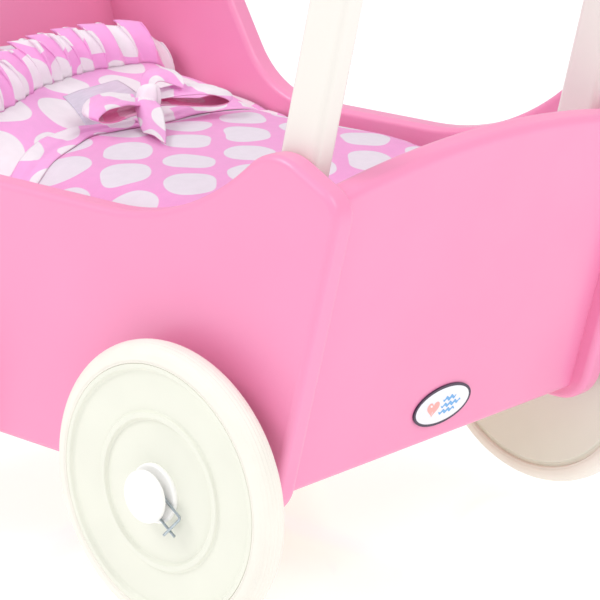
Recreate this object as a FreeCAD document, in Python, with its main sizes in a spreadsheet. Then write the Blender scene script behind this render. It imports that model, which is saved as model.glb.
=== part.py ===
"""Wooden doll stroller: a pink panelled cot on four rubber-tyred wheels, with a cream push handle and
a padded baby wrap inside. Millimetres, +X towards the push handle, +Y to the pusher's right, +Z up.
The origin is on the floor, under the middle of the whole object's box."""
import FreeCAD, Part

import math
import os

import Sketcher
from FreeCAD import Placement, Rotation, Vector

DIMS = {
    # cot: the two side panels stand upright, the two end panels lean outwards going up
    "cot_width": 277, "board": 15, "bottom_half": 175, "end_bottom_z": 75.3, "end_slant": 15,
    "side_overlap": 10.5, "side_bottom_z": 68, "side_edge_round": 4, "end_edge_round": 5,
    "side_bottom_round": 23,
    # top edge of a side panel, from the handle end to the head end
    "shoulder_x": 231.2, "shoulder_z": 245.9, "shoulder_round": 15,
    "peak_x": 184.1, "peak_z": 269.8, "peak_round": 28,
    "dip_x": 120, "dip_z": 216.5, "dip_round": 160,
    "head_dip_x": -66, "head_dip_round": 57,
    "head_rise_x": -127, "head_top_z": 322, "head_rise_round": 88, "head_corner_round": 32,
    # end panels: height along the slope at the sides, and the arch above that
    "foot_end_height": 176, "foot_arch": 25, "foot_arch_round": 590,
    "head_end_height": 229, "head_arch": 34, "head_arch_round": 430,
    # floor
    "floor_half": 161, "floor_z": 90, "floor_board": 8,
    "batten_half": 100, "batten_width": 12, "batten_height": 18,
    # push handle
    "arm_slant": 14, "arm_width": 25, "arm_thick": 15, "arm_foot_x": 160, "arm_foot_z": 146,
    "arm_length": 415, "arm_edge_round": 4, "arm_foot_round": 5,
    "grip_radius": 12.5, "bolt_low": 24, "bolt_high": 74,
    # fasteners
    "screw_radius": 1.75, "screw_head_radius": 3.5, "screw_head": 2, "screw_length": 24,
    "dowel_radius": 4, "dowel_length": 30, "dowel_depth": 19,
    "bolt_radius": 3, "bolt_length": 30, "bolt_head_radius": 5.25, "bolt_head": 3.3,
    "bolt_hole_radius": 3.2, "washer_radius": 7, "washer_hole_radius": 3.1, "washer": 1,
    "insert_radius": 4.5, "insert_length": 12,
    "grip_screw_length": 50, "grip_screw_head_radius": 5, "grip_screw_head": 2,
    "grip_cap_radius": 6.5, "grip_cap_front_radius": 5, "grip_cap": 1.6,
    # axles and wheels
    "axle_x": 128, "axle_radius": 4, "running_clearance": 0.05, "bush_radius": 7,
    "bush_flange_radius": 11, "bush_flange": 2, "spacer_radius": 8, "wheel_gap": 10,
    "wheel_radius": 80, "wheel_width": 18.7, "seam_radius": 69, "hub_end": 1.5,
    "hub_flange_radius": 16.3, "hub_flange": 2.3, "neck_radius": 5.2, "neck": 4.2,
    "cap_radius": 14.5, "cap": 4.8, "axle_end_gap": 3, "spacer_play": 0.2,
    # moulded face of a wheel disc
    "web_inset": 2.6, "bead_outer_radius": 44, "bead_inner_radius": 40, "bead": 1.8,
    "dish_radius": 38.6, "dish_depth": 0.4, "hub_seat_radius": 17,
    # spring wire clip: half the gap between its legs, and where its hooked leg turns across
    "clip_wire_radius": 0.75, "clip_reach": 6, "clip_tip": 22.5,
    # badge on the handle-end panel
    "badge_height": 24.5, "badge_length": 48, "badge_width": 25, "badge_rim": 1.5,
    "badge_thick": 1, "badge_face_thick": 0.8,
    # soft goods
    "soft_gap": 0.6, "mattress_top_z": 138, "wrap_side_z": 204, "wrap_crown_z": 216,
    "pillow_thick": 34, "ruffle_height": 30, "bedding_half_width": 121, "cloth": 3,
    "loops_height": 20, "patch_thick": 1.2,
}

doc = FreeCAD.newDocument("DollStroller")
sheet = doc.addObject("Spreadsheet::Sheet", "dims")
for row, (alias, value) in enumerate(DIMS.items(), start=1):
    sheet.set(f"A{row}", alias)
    sheet.set(f"B{row}", str(value))
    sheet.setAlias(f"B{row}", alias)
doc.recompute()


class Size:
    """A size worked out from the sheet: its number, and the expression that gives that number."""

    def __init__(self, value, text=None):
        self.value = float(value)
        self.text = text or repr(float(value))

    def __add__(self, other):
        other = size(other)
        return Size(self.value + other.value, f"({self.text} + {other.text})")

    def __sub__(self, other):
        other = size(other)
        return Size(self.value - other.value, f"({self.text} - {other.text})")

    def __mul__(self, other):
        other = size(other)
        return Size(self.value * other.value, f"({self.text} * {other.text})")

    def __truediv__(self, other):
        other = size(other)
        return Size(self.value / other.value, f"({self.text} / {other.text})")

    def __neg__(self):
        return Size(-self.value, f"(0 - {self.text})")

    def __radd__(self, other):
        return size(other) + self

    def __rmul__(self, other):
        return size(other) * self


def size(number):
    return number if isinstance(number, Size) else Size(number)


def sine(angle):
    return Size(math.sin(math.radians(angle.value)), f"sin({angle.text})")


def cosine(angle):
    return Size(math.cos(math.radians(angle.value)), f"cos({angle.text})")


class Dims:
    """The sheet's cells by name."""

    def __getattr__(self, alias):
        return Size(sheet.get(alias), f"dims.{alias}")


d = Dims()

# Planes and places that several pieces share.
inner_y = d.cot_width / 2 - d.board
outer_y = d.cot_width / 2
slope = sine(d.end_slant) / cosine(d.end_slant)
axle_z = d.wheel_radius
wheel_inner_y = outer_y + d.wheel_gap
hub_inner_y = wheel_inner_y - d.hub_end
cap_front_y = wheel_inner_y + d.wheel_width + d.hub_flange + d.neck + d.cap
floor_top_z = d.floor_z + d.floor_board


def end_face_x(z):
    """Outer face of an end panel at a height."""
    return d.bottom_half + slope * (z - d.end_bottom_z)


grip_x = d.arm_foot_x + sine(d.arm_slant) * d.arm_length
grip_z = d.arm_foot_z + cosine(d.arm_slant) * d.arm_length

# The head corner is an arc tangent to the top edge and to the leaning front edge.
head_corner_z = d.head_top_z - d.head_corner_round
head_corner_x = (d.head_corner_round * cosine(d.end_slant) - d.side_overlap
                 - end_face_x(head_corner_z - d.head_corner_round * sine(d.end_slant)))
# The box's middle along X, from the grip's back to the head corner's front, is moved to the origin.
middle_x = (grip_x + d.grip_radius + head_corner_x - d.head_corner_round) / 2


def bind(thing, **sizes):
    for name, wanted in sizes.items():
        thing.setExpression(name, size(wanted).text)


def place(thing, x, y, z, rotation=Rotation()):
    """Puts an object at a point of the stroller, measured from the middle between the axles."""
    x = size(x) - middle_x
    y = size(y)
    z = size(z)
    thing.Placement = Placement(Vector(x.value, y.value, z.value), rotation)
    thing.setExpression("Placement.Base.x", x.text)
    thing.setExpression("Placement.Base.y", y.text)
    thing.setExpression("Placement.Base.z", z.text)
    return thing


def new_body(node):
    body = doc.addObject("PartDesign::Body", node)
    body.Label = node
    return body


def new_sketch(body, name, role):
    sketch = body.newObject("Sketcher::SketchObject", name)
    plane = [feature for feature in body.Origin.OriginFeatures if feature.Role == role][0]
    sketch.AttachmentSupport = (plane, "")
    sketch.MapMode = "FlatFace"
    return sketch


def constrain(sketch, kind, *args):
    """Adds a constraint; a last argument that is a Size is bound to its expression."""
    if isinstance(args[-1], Size):
        index = sketch.addConstraint(Sketcher.Constraint(kind, *args[:-1], args[-1].value))
        sketch.setExpression(f"Constraints[{index}]", args[-1].text)
        return index
    return sketch.addConstraint(Sketcher.Constraint(kind, *args))


def pin_point(sketch, geometry, vertex, u, v):
    for kind, axis, wanted in (("DistanceX", -2, u), ("DistanceY", -1, v)):
        if abs(wanted.value) < 1e-9:
            constrain(sketch, "PointOnObject", geometry, vertex, axis)
        else:
            constrain(sketch, kind, -1, 1, geometry, vertex, wanted)


def draw_outline(sketch, corners):
    """A closed outline from its corners (u, v, radius), each rounded by a tangent arc if it has a radius."""
    corners = [(size(u), size(v), radius and size(radius)) for u, v, radius in corners]
    points = [Vector(u.value, v.value, 0) for u, v, radius in corners]
    count = len(corners)
    starts, ends, arcs = [], [], []
    for i, (u, v, radius) in enumerate(corners):
        back = (points[i - 1] - points[i]).normalize()
        ahead = (points[(i + 1) % count] - points[i]).normalize()
        if radius is None:
            ends.append(points[i])
            starts.append(points[i])
            arcs.append(None)
            continue
        half_angle = back.getAngle(ahead) / 2
        reach = radius.value / math.tan(half_angle)
        centre = points[i] + (back + ahead).normalize() * (radius.value / math.sin(half_angle))
        ends.append(points[i] + back * reach)
        starts.append(points[i] + ahead * reach)
        arcs.append((centre, radius, back.cross(ahead).z < 0))
    lines = []
    for i in range(count):
        lines.append(sketch.addGeometry(Part.LineSegment(starts[i], ends[(i + 1) % count])))
    for i, (u, v, radius) in enumerate(corners):
        before = lines[i - 1]
        if arcs[i] is None:
            constrain(sketch, "Coincident", before, 2, lines[i], 1)
            pin_point(sketch, lines[i], 1, u, v)
            continue
        centre, radius, left_turn = arcs[i]
        first, last = (ends[i], starts[i]) if left_turn else (starts[i], ends[i])
        angles = [math.atan2(p.y - centre.y, p.x - centre.x) for p in (first, last)]
        circle = Part.Circle(centre, Vector(0, 0, 1), radius.value)
        arc = sketch.addGeometry(Part.ArcOfCircle(circle, *angles))
        corner = sketch.addGeometry(Part.Point(points[i]), True)
        entry, leave = (1, 2) if left_turn else (2, 1)
        constrain(sketch, "Tangent", before, 2, arc, entry)
        constrain(sketch, "Tangent", lines[i], 1, arc, leave)
        constrain(sketch, "PointOnObject", corner, 1, before)
        constrain(sketch, "PointOnObject", corner, 1, lines[i])
        pin_point(sketch, corner, 1, u, v)
        constrain(sketch, "Radius", arc, radius)


def draw_circle(sketch, u, v, radius):
    circle = Part.Circle(Vector(size(u).value, size(v).value, 0), Vector(0, 0, 1), size(radius).value)
    index = sketch.addGeometry(circle)
    pin_point(sketch, index, 3, size(u), size(v))
    constrain(sketch, "Radius", index, size(radius))


def pad(body, sketch, length, reverse=False):
    feature = body.newObject("PartDesign::Pad", f"{body.Name}_pad")
    feature.Profile = sketch
    feature.Reversed = reverse
    bind(feature, Length=length)
    doc.recompute()
    return feature


def round_edges(body, base, radius, wanted):
    """Rounds the edges of the body's last feature that the test picks."""
    names = [f"Edge{i}" for i, edge in enumerate(base.Shape.Edges, start=1) if wanted(edge)]
    fillet = body.newObject("PartDesign::Fillet", f"{body.Name}_round")
    fillet.Base = (base, names)
    bind(fillet, Radius=radius)
    body.Tip = fillet
    doc.recompute()
    return fillet


def turned(node, profile):
    """A piece turned about its own Z axis from a closed profile of (radius, height, rounding)."""
    body = new_body(node)
    sketch = new_sketch(body, f"{node}_profile", "XZ_Plane")
    draw_outline(sketch, profile)
    turn = body.newObject("PartDesign::Revolution", f"{node}_turn")
    turn.Profile = sketch
    turn.ReferenceAxis = (sketch, ["V_Axis"])
    body.Tip = turn
    return body


def cylinder(name, radius, length):
    thing = doc.addObject("Part::Cylinder", name)
    bind(thing, Radius=radius, Height=length)
    return thing


def group(node, things):
    """One node that holds several separate solids."""
    compound = doc.addObject("Part::Compound", node)
    compound.Label = node
    compound.Links = things
    return compound


TO_RIGHT = Rotation(Vector(1, 0, 0), -90)   # a turned piece's own Z axis points to +Y
TO_LEFT = Rotation(Vector(1, 0, 0), 90)     # and to -Y
SIDES = (("left", -1, TO_LEFT), ("right", 1, TO_RIGHT))
AXLES = (("rear", 1), ("front", -1))
# How far each clip is turned about its own axle, from pointing towards the handle end.
CLIP_ANGLES = {"rear_left": -34, "rear_right": 34, "front_left": 150, "front_right": 20}


# ---------------------------------------------------------------- cot

def side_panel(side, sign):
    """An upright board with a dipped top edge, a raised head end and two holes for the axle bushes."""
    body = new_body(f"side_panel_{side}")
    sketch = new_sketch(body, f"side_{side}_outline", "XZ_Plane")
    edge_x = end_face_x(d.side_bottom_z) + d.side_overlap
    head_x = end_face_x(d.head_top_z) + d.side_overlap
    draw_outline(sketch, [
        (edge_x, d.side_bottom_z, d.side_bottom_round),
        (d.shoulder_x, d.shoulder_z, d.shoulder_round),
        (d.peak_x, d.peak_z, d.peak_round),
        (d.dip_x, d.dip_z, d.dip_round),
        (d.head_dip_x, d.dip_z, d.head_dip_round),
        (d.head_rise_x, d.head_top_z, d.head_rise_round),
        (-head_x, d.head_top_z, d.head_corner_round),
        (-edge_x, d.side_bottom_z, d.side_bottom_round),
    ])
    for axle_side in (1, -1):
        draw_circle(sketch, axle_side * d.axle_x, axle_z, d.bush_radius)
    board = pad(body, sketch, d.board)

    def on_outline(edge):
        flat = edge.BoundBox.YLength < 1e-6
        radius = edge.Curve.Radius if edge.Curve.TypeId == "Part::GeomCircle" else 0
        hole = abs(radius - d.bush_radius.value) < 1e-6
        return flat and not hole

    round_edges(body, board, d.side_edge_round, on_outline)
    place(body, 0, inner_y if sign < 0 else outer_y, 0)
    if sign < 0:
        bind(body, **{"Placement.Base.y": -inner_y})
    return body


def end_panel(node, height, arch, arch_round, rotation, sign):
    """A leaning board between the side panels, with an arched top edge."""
    body = new_body(node)
    sketch = new_sketch(body, f"{node}_outline", "YZ_Plane")
    draw_outline(sketch, [
        (-inner_y, size(0), None),
        (inner_y, size(0), None),
        (inner_y, height, None),
        (size(0), height + arch, arch_round),
        (-inner_y, height, None),
    ])
    board = pad(body, sketch, d.board, reverse=True)

    def across(edge):
        return edge.BoundBox.YLength > 1

    round_edges(body, board, d.end_edge_round, across)
    place(body, sign * d.bottom_half, 0, d.end_bottom_z, rotation)
    return body


def plain_box(node, length, width, height, x, y, z):
    """A squared piece, placed by its middle in X and Y and by its underside."""
    box = doc.addObject("Part::Box", node)
    box.Label = node
    bind(box, Length=length, Width=width, Height=height)
    place(box, size(x) - size(length) / 2, size(y) - size(width) / 2, z)
    return box


lean = Rotation(Vector(0, 1, 0), DIMS["end_slant"])
about = Rotation(Vector(0, 0, 1), 180)
nodes = []
for side, sign, facing in SIDES:
    nodes.append(side_panel(side, sign))
nodes.append(end_panel("rear_end_panel", d.foot_end_height, d.foot_arch, d.foot_arch_round, lean, 1))
nodes.append(end_panel("front_end_panel", d.head_end_height, d.head_arch, d.head_arch_round,
                       about * lean, -1))
nodes.append(plain_box("floor_panel", 2 * d.floor_half, 2 * inner_y, d.floor_board, 0, 0, d.floor_z))
for side, sign, facing in SIDES:
    nodes.append(plain_box(f"floor_batten_{side}", 2 * d.batten_half, d.batten_width, d.batten_height,
                           0, sign * (inner_y - d.batten_width / 2), d.floor_z - d.batten_height))


def wood_screw(name, x, y, z, rotation):
    """A countersunk screw whose head face is at the given point, pointing along its own Z axis."""
    shank = cylinder(f"{name}_shank", d.screw_radius, d.screw_length)
    head = doc.addObject("Part::Cone", f"{name}_head")
    bind(head, Radius1=d.screw_head_radius, Radius2=d.screw_radius, Height=d.screw_head)
    fused = doc.addObject("Part::Fuse", name)
    fused.Base = shank
    fused.Tool = head
    return place(fused, x, y, z, rotation)


def batten_screws():
    screws = []
    for side, sign, facing in SIDES:
        for i, x in enumerate((-80, 0, 80)):
            screws.append(wood_screw(f"side_screw_{side}_{i}", x, sign * (inner_y - d.batten_width),
                                     d.floor_z - d.batten_height / 2, facing))
        for i, x in enumerate((-50, 50)):
            screws.append(wood_screw(f"floor_screw_{side}_{i}", x,
                                     sign * (inner_y - d.batten_width / 2),
                                     d.floor_z - d.batten_height, Rotation()))
    return group("batten_screws", screws)


def panel_dowels():
    """Glued beech dowels that join each end panel to both side panels."""
    dowels = []
    for end, sign_x, heights in (("rear", 1, (105, 165, 225)), ("front", -1, (105, 190, 275))):
        for side, sign_y, facing in SIDES:
            for i, z in enumerate(heights):
                dowel = cylinder(f"dowel_{end}_{side}_{i}", d.dowel_radius, d.dowel_length)
                x = sign_x * (end_face_x(size(z)) - d.board / 2 / cosine(d.end_slant))
                dowels.append(place(dowel, x, sign_y * (inner_y - d.dowel_depth), z, facing))
    return group("panel_dowels", dowels)


nodes.append(batten_screws())
nodes.append(panel_dowels())


# ---------------------------------------------------------------- push handle

def along_arm(distance):
    """Point of an arm's middle line at a distance up from its foot."""
    return (d.arm_foot_x + sine(d.arm_slant) * distance, d.arm_foot_z + cosine(d.arm_slant) * distance)


def handle_arm(side, sign):
    """A flat bar with rounded long edges, screwed to the inside of a side panel."""
    body = new_body(f"handle_arm_{side}")
    sketch = new_sketch(body, f"arm_{side}_outline", "XZ_Plane")
    half = d.arm_width / 2
    top = d.arm_length + half
    draw_outline(sketch, [
        (-half, size(0), d.arm_foot_round),
        (half, size(0), d.arm_foot_round),
        (half, top, half * 0.999),
        (-half, top, half * 0.999),
    ])
    for distance in (d.bolt_low, d.bolt_high):
        draw_circle(sketch, 0, distance, d.bolt_hole_radius)
    draw_circle(sketch, 0, d.arm_length, d.bolt_hole_radius)
    bar = pad(body, sketch, d.arm_thick)

    def on_outline(edge):
        radius = edge.Curve.Radius if edge.Curve.TypeId == "Part::GeomCircle" else 0
        hole = abs(radius - d.bolt_hole_radius.value) < 1e-6
        return edge.BoundBox.YLength < 1e-6 and not hole

    round_edges(body, bar, d.arm_edge_round, on_outline)
    leaning = Rotation(Vector(0, 1, 0), DIMS["arm_slant"])
    return place(body, d.arm_foot_x, -(inner_y - d.arm_thick) if sign < 0 else inner_y, d.arm_foot_z,
                 leaning)


arm_inner_y = inner_y - d.arm_thick
for side, sign, facing in SIDES:
    nodes.append(handle_arm(side, sign))

grip = cylinder("handle_grip", d.grip_radius, 2 * arm_inner_y)
grip.Label = "handle_grip"
nodes.append(place(grip, grip_x, -arm_inner_y, grip_z, TO_RIGHT))


def handle_fasteners():
    """Bolts from inside the cot through the arms, their washers, and threaded inserts in the panels."""
    bolts, washers, inserts = [], [], []
    for side, sign, facing in SIDES:
        for i, distance in enumerate((d.bolt_low, d.bolt_high)):
            x, z = along_arm(distance)
            name = f"{side}_{i}"
            washer = doc.addObject("Part::Cut", f"washer_{name}")
            washer.Base = cylinder(f"washer_disc_{name}", d.washer_radius, d.washer)
            washer.Tool = cylinder(f"washer_hole_{name}", d.washer_hole_radius, d.washer)
            washers.append(place(washer, x, sign * (arm_inner_y - d.washer), z, facing))
            bolt = doc.addObject("Part::Fuse", f"bolt_{name}")
            bolt.Base = cylinder(f"bolt_shank_{name}", d.bolt_radius, d.bolt_length)
            bolt.Tool = cylinder(f"bolt_head_{name}", d.bolt_head_radius, d.bolt_head)
            bolts.append(place(bolt, x, sign * (arm_inner_y - d.washer - d.bolt_head), z, facing))
            insert = doc.addObject("Part::Cut", f"insert_{name}")
            insert.Base = cylinder(f"insert_body_{name}", d.insert_radius, d.insert_length)
            insert.Tool = cylinder(f"insert_bore_{name}", d.bolt_radius, d.insert_length)
            inserts.append(place(insert, x, sign * inner_y, z, facing))
    return [group("handle_bolts", bolts), group("handle_washers", washers),
            group("threaded_inserts", inserts)]


def grip_fasteners():
    """A long screw through each arm into the grip's end, under a snap-on cap."""
    screws, caps = [], []
    for side, sign, facing in SIDES:
        inward = TO_LEFT if sign > 0 else TO_RIGHT
        screw = doc.addObject("Part::Fuse", f"grip_screw_{side}")
        screw.Base = cylinder(f"grip_screw_shank_{side}", d.bolt_radius, d.grip_screw_length)
        screw.Tool = cylinder(f"grip_screw_head_{side}", d.grip_screw_head_radius, d.grip_screw_head)
        head_y = sign * (inner_y + d.grip_screw_head)
        screws.append(place(screw, grip_x, head_y, grip_z, inward))
        cap = doc.addObject("Part::Cone", f"grip_cap_{side}")
        bind(cap, Radius1=d.grip_cap_radius, Radius2=d.grip_cap_front_radius, Height=d.grip_cap)
        caps.append(place(cap, grip_x, head_y, grip_z, facing))
    return [group("grip_screws", screws), group("grip_screw_caps", caps)]


nodes += handle_fasteners()
nodes += grip_fasteners()


# ---------------------------------------------------------------- axles and wheels

axle_half = cap_front_y - d.axle_end_gap
for end, sign in AXLES:
    axle = cylinder(f"axle_{end}", d.axle_radius, 2 * axle_half)
    axle.Label = f"axle_{end}"
    nodes.append(place(axle, sign * d.axle_x, -axle_half, axle_z, TO_RIGHT))

bore = d.axle_radius + d.running_clearance


def at_wheel(thing, sign_x, y, sign_y, facing):
    return place(thing, sign_x * d.axle_x, sign_y * size(y), axle_z, facing)


def bushes_and_spacers():
    bushes, spacers = [], []
    for end, sign_x in AXLES:
        for side, sign_y, facing in SIDES:
            bush = turned(f"bush_{end}_{side}", [
                (bore, size(0), None),
                (d.bush_radius, size(0), None),
                (d.bush_radius, d.board, None),
                (d.bush_flange_radius, d.board, None),
                (d.bush_flange_radius, d.board + d.bush_flange, 0.8),
                (bore, d.board + d.bush_flange, None),
            ])
            bushes.append(at_wheel(bush, sign_x, inner_y, sign_y, facing))
            spacer = doc.addObject("Part::Cut", f"spacer_{end}_{side}")
            length = d.wheel_gap - d.bush_flange - d.hub_end - d.spacer_play
            spacer.Base = cylinder(f"spacer_tube_{end}_{side}", d.spacer_radius, length)
            spacer.Tool = cylinder(f"spacer_bore_{end}_{side}", bore, length)
            spacers.append(at_wheel(spacer, sign_x, outer_y + d.bush_flange, sign_y, facing))
    return [group("axle_bushes", bushes), group("wheel_spacers", spacers)]


def wheel_disc(node):
    """Moulded disc: a flat web with a raised ring bead, dished outwards to the hub."""
    rim = d.seam_radius
    web = d.wheel_width - d.web_inset
    return turned(node, [
        (d.bush_radius, size(1), None),
        (rim - 3, size(1), 1),
        (rim - 2, size(2.2), None),
        (rim, size(2.2), None),
        (rim, d.wheel_width - 0.4, 0.3),
        (rim - 2.4, d.wheel_width - 0.4, 1),
        (rim - 4, web, 2),
        (d.bead_outer_radius, web, 1),
        (d.bead_outer_radius - 1, web + d.bead, 0.9),
        (d.bead_inner_radius, web + d.bead, 0.9),
        (d.dish_radius, web - d.dish_depth, 1),
        (d.hub_seat_radius, d.wheel_width, 6),
        (d.bush_radius, d.wheel_width, None),
    ])


def tyre(node):
    """Rubber ring with a round tread, seated on the disc's rim."""
    return turned(node, [
        (d.seam_radius, size(2.4), None),
        (d.seam_radius + 0.6, size(0), 0.5),
        (d.wheel_radius, size(0), 9.1),
        (d.wheel_radius, d.wheel_width, 9.1),
        (d.seam_radius + 0.6, d.wheel_width, 0.5),
        (d.seam_radius, d.wheel_width - 0.6, None),
    ])


def hub_cap(node):
    """One moulding: bearing tube, flange against the disc, clip neck, and domed cap over the axle end."""
    tube_end = d.hub_end + d.wheel_width
    neck_start = tube_end + d.hub_flange
    cap_start = neck_start + d.neck
    front = cap_start + d.cap
    return turned(node, [
        (bore, size(0), None),
        (d.bush_radius, size(0), 0.4),
        (d.bush_radius, tube_end, None),
        (d.hub_flange_radius, tube_end, None),
        (d.hub_flange_radius, neck_start, 1.4),
        (d.neck_radius, neck_start, 0.5),
        (d.neck_radius, cap_start, 0.5),
        (d.cap_radius, cap_start, 0.6),
        (d.cap_radius - 0.3, cap_start + 2.8, 2),
        (size(11.4), front - 0.6, 0.6),
        (size(10.8), front, 0.4),
        (size(9.6), front, 0.5),
        (size(8.4), front - 1, 1),
        (size(0), front - 1, None),
        (size(0), front - 2.6, None),
        (bore, front - 2.6, None),
    ])


def wire_clip(node):
    """Spring wire bent round the neck: two legs, the end of one hooked across the other."""
    radius = d.clip_wire_radius.value
    reach = d.clip_reach.value
    tip = d.clip_tip.value
    back = -4         # where the round bend starts, behind the axle
    bend = 1.8        # room for the bend between a leg and its hook
    overhang = 2.5    # how far the straight leg passes the hooked one
    low = (d.hub_end + d.wheel_width + d.hub_flange).value + 1.2
    high = low + 1.9  # the hook's end rides over the straight leg
    start = Vector(tip + overhang, -reach, low)
    turn_in = Vector(tip, reach, low)
    hook_end = Vector(tip - overhang, -reach - 3.5, high)
    across = (hook_end - turn_in).normalize()
    leg_end = turn_in - Vector(bend, 0, 0)
    hook_start = turn_in + across * bend
    middle = turn_in + (Vector(-1, 0, 0) + across) * (bend * 0.3)
    edges = [
        Part.LineSegment(start, Vector(back, -reach, low)).toShape(),
        Part.Arc(Vector(back, -reach, low), Vector(back - reach, 0, low),
                 Vector(back, reach, low)).toShape(),
        Part.LineSegment(Vector(back, reach, low), leg_end).toShape(),
        Part.Arc(leg_end, middle, hook_start).toShape(),
        Part.LineSegment(hook_start, hook_end).toShape(),
    ]
    section = Part.Wire(Part.Circle(start, Vector(-1, 0, 0), radius).toShape())
    clip = doc.addObject("Part::Feature", node)
    clip.Label = node
    clip.Shape = Part.Wire(edges).makePipeShell([section], True, False)
    return clip


def wheels():
    made = []
    for end, sign_x in AXLES:
        for side, sign_y, facing in SIDES:
            place_name = f"{end}_{side}"
            made.append(at_wheel(wheel_disc(f"wheel_disc_{place_name}"), sign_x, wheel_inner_y, sign_y,
                                 facing))
            made.append(at_wheel(tyre(f"tyre_{place_name}"), sign_x, wheel_inner_y, sign_y, facing))
            made.append(at_wheel(hub_cap(f"hub_cap_{place_name}"), sign_x, hub_inner_y, sign_y, facing))
            turned_to = facing * Rotation(Vector(0, 0, 1), CLIP_ANGLES[place_name])
            made.append(at_wheel(wire_clip(f"wire_clip_{place_name}"), sign_x, hub_inner_y, sign_y,
                                 turned_to))
    return made


nodes += bushes_and_spacers()
nodes += wheels()


# ---------------------------------------------------------------- badge

def badge(node, length, width, thick, lift):
    """Oval plate on the outer face of the handle-end panel."""
    plate = doc.addObject("Part::Feature", node)
    plate.Label = node
    oval = Part.Ellipse(Vector(0, 0, 0), length.value / 2, width.value / 2).toShape()
    plate.Shape = Part.Face(Part.Wire(oval)).extrude(Vector(0, 0, thick.value))
    up = d.badge_height
    x = d.bottom_half + sine(d.end_slant) * up + cosine(d.end_slant) * lift
    z = d.end_bottom_z + cosine(d.end_slant) * up - sine(d.end_slant) * lift
    upright = Rotation(Vector(0, 1, 0), 90) * Rotation(Vector(0, 0, 1), 90)
    return place(plate, x, 0, z, lean * upright)


nodes.append(badge("badge_rim", d.badge_length, d.badge_width, d.badge_thick, size(0)))
nodes.append(badge("badge_face", d.badge_length - 2 * d.badge_rim, d.badge_width - 2 * d.badge_rim,
                   d.badge_face_thick, d.badge_thick))


# ---------------------------------------------------------------- soft goods

def soft_block(node, blocks):
    """Closed soft solid from side outlines, each with its own half width."""
    body = new_body(node)
    for i, (half_width, corners) in enumerate(blocks):
        sketch = new_sketch(body, f"{node}_outline_{i}", "XZ_Plane")
        draw_outline(sketch, corners)
        feature = body.newObject("PartDesign::Pad", f"{node}_pad_{i}")
        feature.Profile = sketch
        bind(feature, Length=2 * size(half_width))
        feature.Midplane = True
        body.Tip = feature
    doc.recompute()
    place(body, 0, 0, 0)
    return body


def inside_x(z, clear=3):
    """Inner face of an end panel at a height, less a clearance."""
    return end_face_x(size(z)) - d.board / cosine(d.end_slant) - clear


def laid_block(node, outline, low, thick):
    """A soft piece that lies flat: its outline seen from above, at a height."""
    body = new_body(node)
    sketch = new_sketch(body, f"{node}_outline", "XY_Plane")
    draw_outline(sketch, [(x, y, None) for x, y in outline])
    body.Tip = pad(body, sketch, thick)
    return place(body, 0, 0, low)


# Seen from above: the ruffle runs across the cot on a slant, the sash crosses it the other way, and
# the bow sits where the sash bends. All are drawn from the near, left side to the right side.
RUFFLE_FRONT = [(-84, -116), (-94, -66), (-119, -18), (-133, 38), (-141, 116)]
RUFFLE_BACK = [(-157, 116), (-149, 38), (-135, -18), (-110, -66), (-100, -116)]
PILLOW_FRONT = [(-103, -112), (-113, -66), (-138, -18), (-152, 38), (-160, 112)]
SASH = [(-22.5, -121), (1.5, -121), (-56, 13), (-31, 121), (-54, 121), (-79, 13)]
LOOPS = [(-66, -40), (-36, -50), (-46, 0), (-50, 16), (-28, 54), (-50, 66), (-70, 26), (-72, 0)]
TAILS = [(-46, 6), (-44, -8), (-28, -22), (3, -32)]
PATCH = [(-101, -17), (-71, -29), (-86, 34), (-110, 38)]

mattress_low = floor_top_z + d.soft_gap
nodes.append(soft_block("mattress", [(d.bedding_half_width, [
    (-inside_x(mattress_low), mattress_low, 6),
    (inside_x(mattress_low), mattress_low, 6),
    (inside_x(d.mattress_top_z), d.mattress_top_z, 8),
    (-inside_x(d.mattress_top_z), d.mattress_top_z, 8),
])]))

wrap_low = d.mattress_top_z + d.soft_gap
nodes.append(soft_block("wrap", [
    (d.bedding_half_width, [
        (-inside_x(wrap_low), wrap_low, 8),
        (size(140), wrap_low, 8),
        (size(156), d.wrap_side_z, 14),
        (size(60), d.wrap_crown_z, 60),
        (size(-100), d.wrap_crown_z, 60),
        (-inside_x(d.wrap_side_z), d.wrap_side_z, 14),
    ]),
    (arm_inner_y - 6, [
        (size(100), wrap_low, None),
        (inside_x(wrap_low), wrap_low, 8),
        (inside_x(190), size(190), 14),
        (size(100), d.wrap_side_z, None),
    ]),
]))

# Everything on the wrap lies just clear of its crown; the bow is stacked on the sash.
laid_z = d.wrap_crown_z + d.soft_gap
pillow_back = -inside_x(laid_z).value
nodes.append(laid_block("pillow", PILLOW_FRONT + [(pillow_back, 112), (pillow_back, -112)], laid_z,
                        d.pillow_thick))
nodes.append(laid_block("pillow_ruffle", RUFFLE_FRONT + RUFFLE_BACK, laid_z, d.ruffle_height))
nodes.append(laid_block("sash", SASH, laid_z, d.cloth))
nodes.append(laid_block("bow_loops", LOOPS, laid_z + d.cloth + d.soft_gap, d.loops_height))
nodes.append(laid_block("bow_tails", TAILS, laid_z, d.cloth))
nodes.append(laid_block("satin_patch", PATCH, laid_z, d.patch_thick))


# ---------------------------------------------------------------- checks and files

def check_document():
    doc.recompute()
    failed = [thing.Label for thing in doc.Objects if {"Invalid", "Error"} & set(thing.State)]
    if failed:
        raise RuntimeError(f"objects that failed: {failed}")
    for node in nodes:
        if node.Shape.isNull() or not node.Shape.isValid() or not node.Shape.Solids:
            raise RuntimeError(f"bad shape: {node.Label}")


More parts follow.
